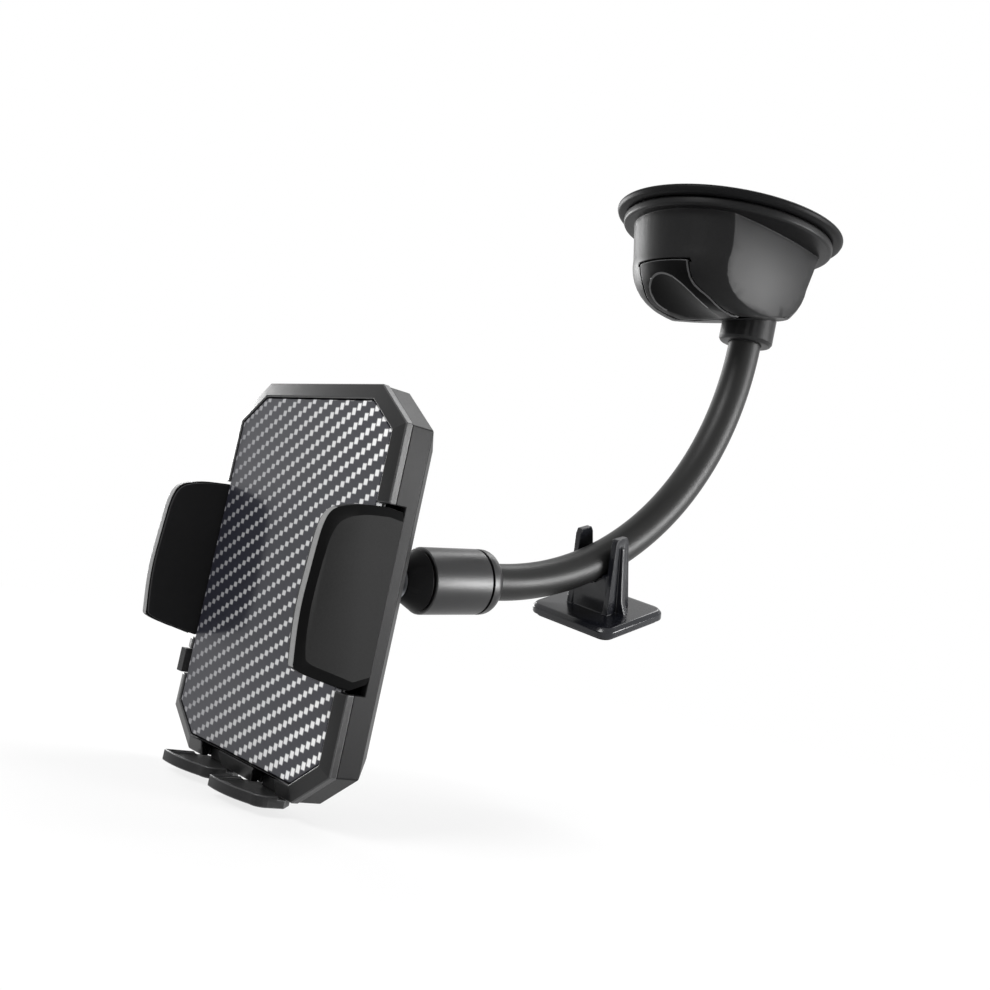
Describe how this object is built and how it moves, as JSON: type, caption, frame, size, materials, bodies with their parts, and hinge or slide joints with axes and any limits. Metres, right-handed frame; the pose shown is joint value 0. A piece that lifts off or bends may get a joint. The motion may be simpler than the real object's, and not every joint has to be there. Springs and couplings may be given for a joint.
{
  "type": "suction cup phone holder",
  "caption": "Car phone holder: lever-locked suction cup, bendable neck, ball joint, spring clamp cradle with rack and pinion, bottom feet and a clip-on support foot.",
  "frame": {"origin": "centre of the suction cup's sealing face", "axes": "+Z out of the sealing face, towards the glass; the neck and the cradle hang below, the cradle's front faces -Y, +X is the cradle's right seen from its front"},
  "size_m": [0.0789, 0.1779, 0.1804],
  "materials": {
    "rubber_black": "matt moulded rubber",
    "satin_plastic": "satin black moulded plastic",
    "neck_rubber": "smooth satin rubber sleeve",
    "steel": "bright zinc plated",
    "joint_metal": "dark satin metal",
    "inner_plastic": "natural acetal",
    "carbon_look": "carbon fibre weave under clear film",
    "foot_plastic": "half-gloss dark blue-grey plastic",
    "adhesive": "foam adhesive pad"
  },
  "bodies": {
    "cup_head": {"suction_cup": "rubber_black", "cup_housing": "satin_plastic", "stem_spring": "steel", "neck_collar": "satin_plastic", "neck_screw": "steel"},
    "stem": {"pull_stem": "steel", "lever_pin": "steel"},
    "lever_arm": {"lever": "satin_plastic"},
    "neck": {"gooseneck_sleeve": "neck_rubber", "gooseneck_core": "steel", "rear_cap": "satin_plastic", "socket_collet": "satin_plastic"},
    "lock_sleeve": {"joint_sleeve": "satin_plastic"},
    "foot": {"support_foot": "foot_plastic", "foot_pad": "adhesive"},
    "seat": {"ball_seat": "inner_plastic"},
    "stud": {"ball_stud": "joint_metal", "stud_washer": "steel", "stud_screw": "steel"},
    "cradle": {"front_bezel": "satin_plastic", "carbon_plate": "carbon_look", "rear_shell": "satin_plastic", "shell_screws": "steel", "guide_plate": "inner_plastic", "pinion_axle": "steel", "pawl_pin": "steel", "arm_spring": "steel", "button_spring": "steel"},
    "gear": {"pinion": "inner_plastic"},
    "arm_right": {"right_arm": "satin_plastic", "right_pad": "rubber_black"},
    "arm_left": {"left_arm": "satin_plastic", "left_pad": "rubber_black"},
    "latch": {"latch_pawl": "inner_plastic"},
    "button": {"release_button": "satin_plastic"},
    "feet": {"feet_carrier": "satin_plastic", "left_foot": "satin_plastic", "right_foot": "satin_plastic"}
  },
  "joints": [
    {"name": "lever_turn", "type": "hinge", "parent": "stem", "child": "lever_arm", "pos_m": [0, 0, -0.0215], "axis": [1, 0, 0], "range_deg": [0, 65]},
    {"name": "stem_pull", "type": "slide", "parent": "cup_head", "child": "stem", "axis": [0, 0, 1], "range_m": [0, 0.0025], "deforming": ["stem_spring", "suction_cup"]},
    {"name": "neck_bend", "type": "hinge", "parent": "cup_head", "child": "neck", "pos_m": [0, 0.0174, -0.03195], "axis": [1, 0, 0], "range_deg": [-25, 25], "deforming": ["gooseneck_sleeve", "gooseneck_core"]},
    {"name": "sleeve_turn", "type": "hinge", "parent": "neck", "child": "lock_sleeve", "pos_m": [0, -0.08669, -0.12547], "axis": [0, 0.9886, 0.1504], "range_deg": [-30, 180]},
    {"name": "foot_slide", "type": "hinge", "parent": "neck", "child": "foot", "pos_m": [0, -0.073, -0.03195], "axis": [1, 0, 0], "range_deg": [-9, 9]},
    {"name": "ball_swivel", "type": "hinge", "parent": "neck", "child": "seat", "pos_m": [0, -0.08867, -0.12577], "axis": [0, 0.9886, 0.1504], "continuous": true},
    {"name": "ball_tilt", "type": "hinge", "parent": "seat", "child": "stud", "pos_m": [0, -0.08867, -0.12577], "axis": [1, 0, 0], "range_deg": [-11, 28]},
    {"name": "cradle_spin", "type": "hinge", "parent": "stud", "child": "cradle", "pos_m": [0, -0.08867, -0.12577], "axis": [0, 1, 0], "continuous": true},
    {"name": "gear_turn", "type": "hinge", "parent": "cradle", "child": "gear", "pos_m": [0, -0.12577, -0.13097], "axis": [0, 1, 0], "range_deg": [0, 104]},
    {"name": "right_arm_slide", "type": "slide", "parent": "cradle", "child": "arm_right", "axis": [1, 0, 0], "range_m": [0, 0.009], "deforming": ["arm_spring"]},
    {"name": "left_arm_slide", "type": "slide", "parent": "cradle", "child": "arm_left", "axis": [-1, 0, 0], "range_m": [0, 0.009]},
    {"name": "button_press", "type": "slide", "parent": "cradle", "child": "button", "axis": [1, 0, 0], "range_m": [0, 0.0015], "stiffness_N_per_m": 300, "deforming": ["button_spring"]},
    {"name": "latch_turn", "type": "hinge", "parent": "cradle", "child": "latch", "pos_m": [-0.022, -0.12577, -0.14637], "axis": [0, 1, 0], "range_deg": [0, 12.1]},
    {"name": "feet_slide", "type": "slide", "parent": "cradle", "child": "feet", "axis": [0, 0, -1], "range_m": [0, 0.012]}
  ],
  "couplings": [
    {"joint": "lever_turn", "follows": "stem_pull", "rad_per_m": 453.78},
    {"joint": "gear_turn", "follows": "right_arm_slide", "rad_per_m": 200},
    {"joint": "left_arm_slide", "follows": "right_arm_slide", "ratio": 1},
    {"joint": "latch_turn", "follows": "button_press", "rad_per_m": 139.63}
  ]
}
